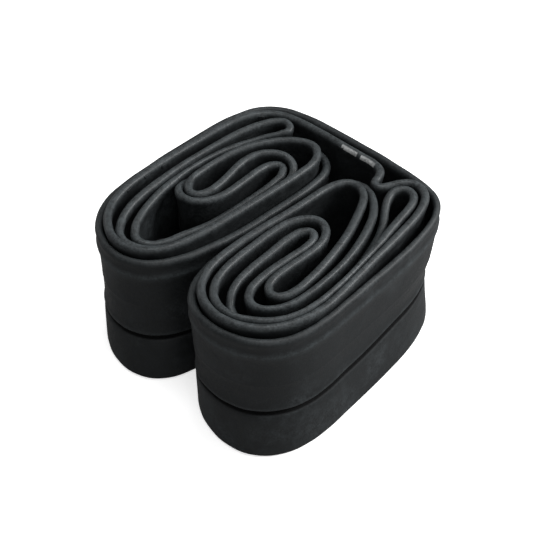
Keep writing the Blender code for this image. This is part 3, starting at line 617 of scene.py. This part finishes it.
def separated(thing, number):
    """Split off the faces marked with a number, as Separate Selection does in edit mode."""
    marks = np.empty(len(thing.data.polygons), np.int32)
    thing.data.attributes["piece"].data.foreach_get("value", marks)
    only(thing)
    bpy.ops.object.mode_set(mode="EDIT")
    bpy.ops.mesh.select_mode(type="FACE")
    bpy.ops.mesh.select_all(action="DESELECT")
    bpy.ops.object.mode_set(mode="OBJECT")
    thing.data.polygons.foreach_set("select", marks == number)
    bpy.ops.object.mode_set(mode="EDIT")
    bpy.ops.mesh.separate(type="SELECTED")
    bpy.ops.object.mode_set(mode="OBJECT")
    return next(other for other in bpy.context.selected_objects if other != thing)


pieces = {}
for number in (3, 2, 1):
    pieces[PIECE_NAMES[number]] = separated(strip, number)
pieces[PIECE_NAMES[0]] = strip

# %% Close the cut ends and smooth the shading
SHARP_ANGLE = math.radians(50.0)

for name, piece in pieces.items():
    piece.name = name
    piece.data.name = name
    only(piece)
    bpy.ops.object.mode_set(mode="EDIT")
    bpy.ops.mesh.select_all(action="SELECT")
    bpy.ops.mesh.fill_holes(sides=0)
    bpy.ops.mesh.select_all(action="SELECT")
    bpy.ops.mesh.normals_make_consistent(inside=False)
    bpy.ops.object.mode_set(mode="OBJECT")
    bpy.ops.object.shade_smooth_by_angle(angle=SHARP_ANGLE)
    piece.data.attributes.remove(piece.data.attributes["piece"])
    triangles = sum(len(face.vertices) - 2 for face in piece.data.polygons)
    print(name, "triangles:", triangles)

# %% [markdown]
# ## Moulded marks
# The mould leaves a few small raised ticks on the rubber, which show on the left roll just under the
# rounded edge of its main turn. Here they are short bars with soft corners and no lettering. Each is
# a cube flattened and bevelled in edit mode, and then set on the wall.

# %% Raised ticks
TICK_HEIGHT = 1.2 * MM
TICK_WIDTH = 2.0 * MM
TICK_DEPTH = 0.5 * MM
TICK_BEVEL = 0.18 * MM
TICKS = [                         # nearest plan point, share along, height above the ground, side
    ("tube_left_main_turn", 1, 0.9, 52.6, -1.0),
    ("tube_left_main_turn", 6, 0.0, 52.6, -1.0),
    ("tube_left_main_turn", 10, 0.1, 52.6, -1.0),
    ("tube_left_main_turn", 10, 0.8, 52.6, -1.0),
    ("tube_left_main_turn", 11, 0.7, 52.6, -1.0),
]


def raised_tick(number, name, point, share, height, side):
    """One soft bar standing on the wall of the strip."""
    place = int(round((starts[name] + point + share) * CURVE_STEPS))
    spot = centre[place] + rightward[place] * side * bead[side][place] * MM
    bpy.ops.object.select_all(action="DESELECT")
    bpy.ops.mesh.primitive_cube_add(size=1.0, location=(0.0, 0.0, 0.0))
    bar = bpy.context.object
    bar.name = f"raised_tick_{number}"
    bar.data.name = bar.name
    bpy.ops.object.mode_set(mode="EDIT")
    bpy.ops.transform.resize(value=(TICK_WIDTH, TICK_DEPTH, TICK_HEIGHT))
    bpy.ops.mesh.bevel(offset=TICK_BEVEL, segments=3, affect="EDGES")
    turn = math.atan2(ahead[place][1], ahead[place][0])
    bpy.ops.object.mode_set(mode="OBJECT")
    bar.location = (spot[0], spot[1], height * MM)
    bar.rotation_euler = (0.0, 0.0, turn)
    bpy.ops.object.transform_apply(location=True, rotation=True, scale=True)
    bpy.ops.object.shade_smooth()
    return bar


ticks = [raised_tick(number, *tick) for number, tick in enumerate(TICKS, start=1)]
print("raised ticks:", len(ticks))

# %% [markdown]
# ## Shared effects for the finishes
# Three effects return in most of the materials, so each is a node group that is built once and given
# other values in each material. Fine grit is the sandy grain of cured rubber. Handling marks are soft
# cloudy patches. Edge wear picks out raised edges, broken up by the grit; in the butyl the same group
# also lays the painted highlight lines on the lip and above the tuck.

# %% Node helpers
def sockets(group, inputs, outputs):
    """Give a node group its named inputs, with their first values, and its outputs."""
    for name, kind, value in inputs:
        socket = group.interface.new_socket(name, in_out="INPUT", socket_type="NodeSocket" + kind)
        if value is not None:
            socket.default_value = value
    for name, kind in outputs:
        group.interface.new_socket(name, in_out="OUTPUT", socket_type="NodeSocket" + kind)


def add_node(tree, kind, **settings):
    """Add a node; settings are its properties, or its inputs where the name is one of theirs."""
    node = tree.nodes.new("ShaderNode" + kind)
    for name, value in settings.items():
        label = name.replace("_", " ").title()
        if hasattr(node, name):
            setattr(node, name, value)
        else:
            node.inputs[label].default_value = value
    return node


def math_node(tree, operation, first, second=None, clamp=False):
    """A Math node on two values or sockets; returns its output socket."""
    node = tree.nodes.new("ShaderNodeMath")
    node.operation = operation
    node.use_clamp = clamp
    for index, value in enumerate((first, second)):
        if value is None:
            continue
        if isinstance(value, (int, float)):
            node.inputs[index].default_value = value
        else:
            tree.links.new(value, node.inputs[index])
    return node.outputs[0]


def new_group(name, inputs, outputs):
    """A shader node group with its Group Input and Group Output in place."""
    group = bpy.data.node_groups.new(name, "ShaderNodeTree")
    sockets(group, inputs, outputs)
    return group, group.nodes.new("NodeGroupInput"), group.nodes.new("NodeGroupOutput")


# %% Group: fine grit
grit, grit_in, grit_out = new_group(
    "fine_grit",
    [("Vector", "Vector", None), ("Scale", "Float", 1500.0), ("Contrast", "Float", 2.0)],
    [("Grain", "Float"), ("Height", "Float")],
)
small = add_node(grit, "TexNoise", detail=3.0, roughness=0.6)
coarse = add_node(grit, "TexNoise", detail=2.0, roughness=0.5)
grit.links.new(grit_in.outputs["Vector"], small.inputs["Vector"])
grit.links.new(grit_in.outputs["Vector"], coarse.inputs["Vector"])
grit.links.new(grit_in.outputs["Scale"], small.inputs["Scale"])
grit.links.new(math_node(grit, "MULTIPLY", grit_in.outputs["Scale"], 0.27), coarse.inputs["Scale"])
both = math_node(grit, "ADD", math_node(grit, "MULTIPLY", small.outputs[0], 0.6),
                 math_node(grit, "MULTIPLY", coarse.outputs[0], 0.4))
centred = math_node(grit, "SUBTRACT", both, 0.5)
stretched = math_node(grit, "MULTIPLY", centred, grit_in.outputs["Contrast"])
grit.links.new(math_node(grit, "ADD", stretched, 0.5, clamp=True), grit_out.inputs["Grain"])
grit.links.new(both, grit_out.inputs["Height"])

# %% Group: handling marks
marks, marks_in, marks_out = new_group(
    "handling_marks",
    [("Vector", "Vector", None), ("Scale", "Float", 60.0), ("Threshold", "Float", 0.5)],
    [("Cloud", "Float"), ("Patch", "Float")],
)
cloud = add_node(marks, "TexNoise", detail=4.0, roughness=0.55, distortion=0.4)
marks.links.new(marks_in.outputs["Vector"], cloud.inputs["Vector"])
marks.links.new(marks_in.outputs["Scale"], cloud.inputs["Scale"])
above = math_node(marks, "SUBTRACT", cloud.outputs[0], marks_in.outputs["Threshold"])
marks.links.new(math_node(marks, "MULTIPLY", above, 6.0, clamp=True), marks_out.inputs["Patch"])
marks.links.new(cloud.outputs[0], marks_out.inputs["Cloud"])

# %% Group: edge wear, also used for the painted highlight lines
wear_and_highlight_group, wear_in, wear_out = new_group(
    "edge_wear_and_highlights",
    [("Edge", "Float", 0.0), ("Grain", "Float", 0.5), ("Amount", "Float", 0.5)],
    [("Mask", "Float")],
)
grainy = math_node(wear_and_highlight_group, "MULTIPLY", wear_in.outputs["Grain"], 1.2)
broken = math_node(wear_and_highlight_group, "MULTIPLY", wear_in.outputs["Edge"], math_node(wear_and_highlight_group, "ADD", grainy, 0.4))
wear_and_highlight_group.links.new(math_node(wear_and_highlight_group, "MULTIPLY", broken, wear_in.outputs["Amount"], clamp=True),
               wear_out.inputs["Mask"])
print("node groups:", [group.name for group in bpy.data.node_groups])


# %% Material helpers
def new_material(name, roughness, specular=0.5, metallic=0.0):
    """A material with its Principled shader; its steady values sit on the shader's own sockets."""
    material = bpy.data.materials.new(name)
    material.use_nodes = True
    shader = material.node_tree.nodes["Principled BSDF"]
    shader.inputs["Roughness"].default_value = roughness
    shader.inputs["Specular IOR Level"].default_value = specular
    shader.inputs["Metallic"].default_value = metallic
    return material, material.node_tree, shader


def placed(tree, group, **values):
    """Place a shared group in a material with this material's own values."""
    node = tree.nodes.new("ShaderNodeGroup")
    node.node_tree = group
    for name, value in values.items():
        node.inputs[name].default_value = value
    return node


def mixed(tree, factor, first, second):
    """Mix two colours by a factor socket; each colour is a tuple or another socket."""
    node = tree.nodes.new("ShaderNodeMix")
    node.data_type = "RGBA"
    tree.links.new(factor, node.inputs["Factor"])
    for index, value in ((6, first), (7, second)):
        if isinstance(value, tuple):
            node.inputs[index].default_value = (*value, 1.0)
        else:
            tree.links.new(value, node.inputs[index])
    return node.outputs[2]


def ranged(tree, value, low, high):
    """Map 0 to 1 onto low to high."""
    return math_node(tree, "ADD", math_node(tree, "MULTIPLY", value, high - low), low)


def bumped(tree, shader, height, distance, strength):
    """Feed a height through a Bump node into the shader's normal."""
    bump = tree.nodes.new("ShaderNodeBump")
    bump.inputs["Distance"].default_value = distance
    bump.inputs["Strength"].default_value = strength
    tree.links.new(height, bump.inputs["Height"])
    tree.links.new(bump.outputs["Normal"], shader.inputs["Normal"])


# %% [markdown]
# ## Black butyl rubber
# Butyl is a very dark, matt rubber with a slight blue-green cast. Fine grit gives it its sandy look,
# and the talc it is packed with leaves greyer patches. The rounded edges are rubbed lighter, and a thin
# coat that follows the same wear gives the edges a faint polish. The pale lines along the lip's bulge
# and the overhanging edge above the tuck are painted highlights, and the inside of the tuck is painted
# near black as painted shade. On the back strand there are two worn pale strokes of ink, drawn here as
# plain dashes.

# %% Butyl
DEEP_BLACK = (0.0070, 0.0083, 0.0091)
TALC_GREY = (0.029, 0.0335, 0.0358)
# Grey of the rubbed edges, also the colour of the painted highlight lines.
RUBBED_AND_HIGHLIGHT_GREY = (0.066, 0.078, 0.083)
# Near black for the painted shade inside the tuck.
TUCK_PAINTED_SHADE = (0.0015, 0.0017, 0.0019)
INK_GREY = (0.42, 0.43, 0.43)
EDGE_RUB = 0.55                  # how far a fully worn edge goes towards the rubbed grey
# How far the painted highlight lines go towards that grey.
PAINTED_HIGHLIGHT_RUB = 0.6
EDGE_POLISH = 0.24               # coat weight on a fully worn edge
SOFT_BORDER = 0.25 * MM          # over which a dash of ink fades out


def butyl(name, dashes=()):
    """Butyl rubber, with pale ink dashes given as (start, end, low, high) on the strip's map."""
    material, tree, shader = new_material(name, roughness=0.55, specular=0.24)
    place = add_node(tree, "TexCoord").outputs["Object"]
    grain = placed(tree, grit, Scale=1400.0, Contrast=4.2)
    patches = placed(tree, marks, Scale=55.0, Threshold=0.47)
    edge = placed(tree, wear_and_highlight_group, Amount=0.5)
    highlight_line = placed(tree, wear_and_highlight_group, Amount=0.9)
    tree.links.new(place, grain.inputs["Vector"])
    tree.links.new(place, patches.inputs["Vector"])
    for node, attribute_name in ((edge, "rounded_edge"), (highlight_line, "painted_highlights")):
        reader = add_node(tree, "Attribute", attribute_name=attribute_name)
        tree.links.new(reader.outputs["Fac"], node.inputs["Edge"])
        tree.links.new(grain.outputs["Grain"], node.inputs["Grain"])
    dusty = math_node(tree, "MULTIPLY", ranged(tree, patches.outputs["Patch"], 0.25, 0.95),
                      grain.outputs["Grain"])
    colour = mixed(tree, dusty, DEEP_BLACK, TALC_GREY)
    # The rubbed edges are real wear; the pale lines on the lip's bulge and above the tuck, mixed towards the
    # same grey, are painted highlights.
    for wear_and_highlight_mask, amount in ((edge, EDGE_RUB), (highlight_line, PAINTED_HIGHLIGHT_RUB)):
        rub_and_highlight_share = math_node(tree, "MULTIPLY", wear_and_highlight_mask.outputs["Mask"], amount)
        colour = mixed(tree, rub_and_highlight_share, colour, RUBBED_AND_HIGHLIGHT_GREY)
    for start, end, low, high in dashes:
        strip_map = add_node(tree, "UVMap", uv_map="strip_map")
        parts = add_node(tree, "SeparateXYZ")
        tree.links.new(strip_map.outputs[0], parts.inputs[0])
        inside = None
        for axis, lowest, highest in ((0, start, end), (1, low, high)):
            for limit, sign in ((lowest, 1.0), (highest, -1.0)):
                past = math_node(tree, "SUBTRACT", parts.outputs[axis], limit)
                away = math_node(tree, "MULTIPLY", past, sign / SOFT_BORDER)
                soft = math_node(tree, "ADD", away, 0.5, clamp=True)
                inside = soft if inside is None else math_node(tree, "MULTIPLY", inside, soft)
        broken_up = ranged(tree, grain.outputs["Grain"], 0.45, 1.0)
        inside = math_node(tree, "MULTIPLY", inside, broken_up)
        colour = mixed(tree, inside, colour, INK_GREY)
    # Painted shade: the inside of the tuck is mixed towards near black.
    shade = add_node(tree, "Attribute", attribute_name="painted_tuck_shade").outputs["Fac"]
    colour = mixed(tree, shade, colour, TUCK_PAINTED_SHADE)
    tree.links.new(colour, shader.inputs["Base Color"])
    rough = ranged(tree, grain.outputs["Grain"], 0.48, 0.64)
    cloudy = math_node(tree, "MULTIPLY", patches.outputs["Cloud"], 0.08)
    rough = math_node(tree, "ADD", rough, cloudy)
    rough = math_node(tree, "ADD", rough, math_node(tree, "MULTIPLY", shade, 0.4), clamp=True)
    tree.links.new(rough, shader.inputs["Roughness"])
    shader.inputs["Coat Roughness"].default_value = 0.24
    polish = math_node(tree, "MULTIPLY", edge.outputs["Mask"], EDGE_POLISH)
    tree.links.new(polish, shader.inputs["Coat Weight"])
    bumped(tree, shader, grain.outputs["Height"], 0.16 * MM, 0.5)
    return material


def on_map(name, point):
    """How far along the strip a point of the plan is, in metres."""
    return along[int(round((starts[name] + point) * CURVE_STEPS)) % STATIONS]


INK_BAND = (51.9 * MM, 53.1 * MM)   # across the map, on the shoulder of the rounded edge
LONG_DASH = 8.5 * MM
SHORT_DASH = 6.5 * MM
HALF_SPACE = 0.8 * MM
ink_middle = on_map("tube_left_main_turn", 1.0)
plain_butyl = butyl("black_butyl")
inked_butyl = butyl("black_butyl_inked", [
    (ink_middle - HALF_SPACE - LONG_DASH, ink_middle - HALF_SPACE, *INK_BAND),
    (ink_middle + HALF_SPACE, ink_middle + HALF_SPACE + SHORT_DASH, *INK_BAND),
])

for name, piece in pieces.items():
    piece.data.materials.clear()
    piece.data.materials.append(inked_butyl if name == "tube_back_inner" else plain_butyl)
for tick in ticks:
    tick.data.materials.append(plain_butyl)
print("butyl pieces:", len(pieces) + len(ticks))

# %% [markdown]
# ## The valve's finishes
# The valve stands hidden between the turns of the left roll. Its foot is moulded rubber, its stem and
# core are turned brass with steel for the pin and spring, its seals are a softer red-brown rubber, and
# a black plastic cap closes it. They keep their CAD shapes and only get better materials.

# %% Metal finishes
def turned_metal(name, bright, dull, roughness):
    """Turned metal: fine rings left by the lathe, cloudy tarnish and small scratches."""
    material, tree, shader = new_material(name, roughness, metallic=1.0)
    place = add_node(tree, "TexCoord").outputs["Object"]
    grain = placed(tree, grit, Scale=2600.0, Contrast=1.6)
    patches = placed(tree, marks, Scale=420.0, Threshold=0.45)
    tree.links.new(place, grain.inputs["Vector"])
    tree.links.new(place, patches.inputs["Vector"])
    rings = add_node(tree, "TexWave", bands_direction="Z", scale=900.0, distortion=0.6)
    tree.links.new(place, rings.inputs["Vector"])
    colour = mixed(tree, math_node(tree, "MULTIPLY", patches.outputs["Patch"], 0.7), bright, dull)
    tree.links.new(colour, shader.inputs["Base Color"])
    rough = ranged(tree, patches.outputs["Cloud"], roughness - 0.08, roughness + 0.22)
    tree.links.new(rough, shader.inputs["Roughness"])
    height = math_node(tree, "ADD", math_node(tree, "MULTIPLY", rings.outputs["Fac"], 0.5),
                       math_node(tree, "MULTIPLY", grain.outputs["Height"], 0.3))
    bumped(tree, shader, height, 0.03 * MM, 0.5)
    return material


# %% Rubber and plastic finishes of the valve
def moulded(name, dark, light, roughness, scale):
    """Moulded rubber or plastic: an even skin with fine grit and faint handling marks."""
    material, tree, shader = new_material(name, roughness, specular=0.35)
    place = add_node(tree, "TexCoord").outputs["Object"]
    grain = placed(tree, grit, Scale=scale, Contrast=1.8)
    patches = placed(tree, marks, Scale=260.0, Threshold=0.5)
    tree.links.new(place, grain.inputs["Vector"])
    tree.links.new(place, patches.inputs["Vector"])
    speckled = ranged(tree, grain.outputs["Grain"], 0.2, 0.9)
    amount = math_node(tree, "MULTIPLY", patches.outputs["Patch"], speckled)
    tree.links.new(mixed(tree, amount, dark, light), shader.inputs["Base Color"])
    rough = ranged(tree, grain.outputs["Grain"], roughness - 0.06, roughness + 0.1)
    tree.links.new(rough, shader.inputs["Roughness"])
    bumped(tree, shader, grain.outputs["Height"], 0.08 * MM, 0.3)
    return material


RUBBER_BLACK = (0.012, 0.012, 0.013)
RUBBER_GREY = (0.045, 0.046, 0.048)
CAP_BLACK = (0.010, 0.010, 0.011)
CAP_GREY = (0.028, 0.028, 0.030)
FINISHES = {
    "brass": turned_metal("turned_brass", (0.72, 0.50, 0.20), (0.40, 0.26, 0.10), 0.28),
    "steel": turned_metal("plated_steel", (0.60, 0.60, 0.61), (0.38, 0.38, 0.39), 0.24),
    "moulded_rubber": moulded("moulded_rubber", RUBBER_BLACK, RUBBER_GREY, 0.55, 1600.0),
    "cap_plastic": moulded("black_cap_plastic", CAP_BLACK, CAP_GREY, 0.34, 2200.0),
    "seal": moulded("red_seal_rubber", (0.28, 0.045, 0.03), (0.36, 0.10, 0.07), 0.55, 1800.0),
}
print("finishes:", ", ".join(FINISHES))

# %% Give each CAD node of the valve its finish
NODE_FINISH = {
    "valve_patch": "moulded_rubber",
    "valve_rubber": "moulded_rubber",
    "valve_stem": "brass",
    "valve_cap": "cap_plastic",
    "cap_gasket": "seal",
    "core_barrel": "brass",
    "core_barrel_gasket": "seal",
    "core_cup": "brass",
    "core_cup_washer": "seal",
    "core_pin": "steel",
    "core_spring": "steel",
    "core_swivel": "brass",
}
replaced = set(LEFT_LENGTHS + RIGHT_LENGTHS)
for name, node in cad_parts.items():
    if name in replaced:
        continue
    finish = FINISHES[NODE_FINISH[name]]
    if not node.material_slots:
        node.data.materials.append(finish)
    for material_slot in node.material_slots:
        material_slot.material = finish
print("CAD nodes with a new finish:", len(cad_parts) - len(replaced))

# %% [markdown]
# ## What each piece moves with
# The left and right pieces ride on their rolls and stand for the CAD lengths of strip. The two back
# pieces bend between the rolls, so the joint at the back opens without a tear.

# %% Ride, blend and replace
BEND_HEIGHT = 0.5 * TOP
BEND_LINE = 42.5 * MM

for name, body, lengths in (
    ("tube_left", "left_roll", LEFT_LENGTHS),
    ("tube_right", "right_roll", RIGHT_LENGTHS),
):
    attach(pieces[name], body)
    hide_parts(*lengths)
for tick in ticks:
    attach(tick, "left_roll")
for name in ("tube_back_outer", "tube_back_inner"):
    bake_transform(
        pieces[name], "left_roll", "right_roll",
        start=(BEND_START + 1.0 * MM, BEND_LINE, BEND_HEIGHT),
        end=(BEND_END - 1.0 * MM, BEND_LINE, BEND_HEIGHT),
    )
print("pieces placed on their bodies")

# %% [markdown]
# ## Floor and light
# The tube stands on a plain white table under soft studio light. The strongest panel leans in from
# behind on the right, which draws the bright lines along the rounded edges. A weaker one hangs
# overhead, and two faint ones, on the right and on the left, lift the walls out of the dark. The
# floor looks bright to the camera but throws little light back, so that the rubber stays black and
# the soft shadows stay faint.

# %% Floor
FLOOR_SIZE = 6.0

bpy.ops.object.select_all(action="DESELECT")
bpy.ops.mesh.primitive_plane_add(size=FLOOR_SIZE, location=(0.0, 0.0, 0.0))
floor = bpy.context.object
floor.name = "floor"
floor_material, floor_tree, floor_shader = new_material("white_floor", 0.8, specular=0.1)
seen = add_node(floor_tree, "LightPath").outputs["Is Camera Ray"]
floor_tree.links.new(mixed(floor_tree, seen, (0.30, 0.30, 0.30), (0.85, 0.85, 0.85)),
                     floor_shader.inputs["Base Color"])
floor_tree.links.new(mixed(floor_tree, seen, (0.05, 0.05, 0.05), (0.60, 0.60, 0.60)),
                     floor_shader.inputs["Emission Color"])
floor_shader.inputs["Emission Strength"].default_value = 1.0
floor.data.materials.append(floor_material)


# %% Lights
def softbox(name, place, aim, size, power):
    """A square light panel that faces a point."""
    light = bpy.data.objects.new(name, bpy.data.lights.new(name, "AREA"))
    light.data.shape = "SQUARE"
    light.data.size = size
    light.data.energy = power
    light.location = place
    light.rotation_euler = (Vector(aim) - Vector(place)).to_track_quat("-Z", "Y").to_euler()
    bpy.context.scene.collection.objects.link(light)
    return light


MIDDLE = (0.0, 0.0, 0.03)
softbox("overhead_panel", (0.0, 0.10, 0.80), MIDDLE, 0.45, 3.2)
softbox("back_right_panel", (0.47, 0.58, 0.52), MIDDLE, 0.45, 10.0)
softbox("right_fill_panel", (0.55, -0.30, 0.55), MIDDLE, 0.50, 1.0)
softbox("left_panel", (-0.75, -0.10, 0.40), MIDDLE, 0.40, 1.0)

world = bpy.data.worlds.new("studio")
bpy.context.scene.world = world
world.use_nodes = True
world.node_tree.nodes["Background"].inputs["Color"].default_value = (1.0, 1.0, 1.0, 1.0)
world.node_tree.nodes["Background"].inputs["Strength"].default_value = 0.25
bpy.context.scene.view_settings.view_transform = "Standard"
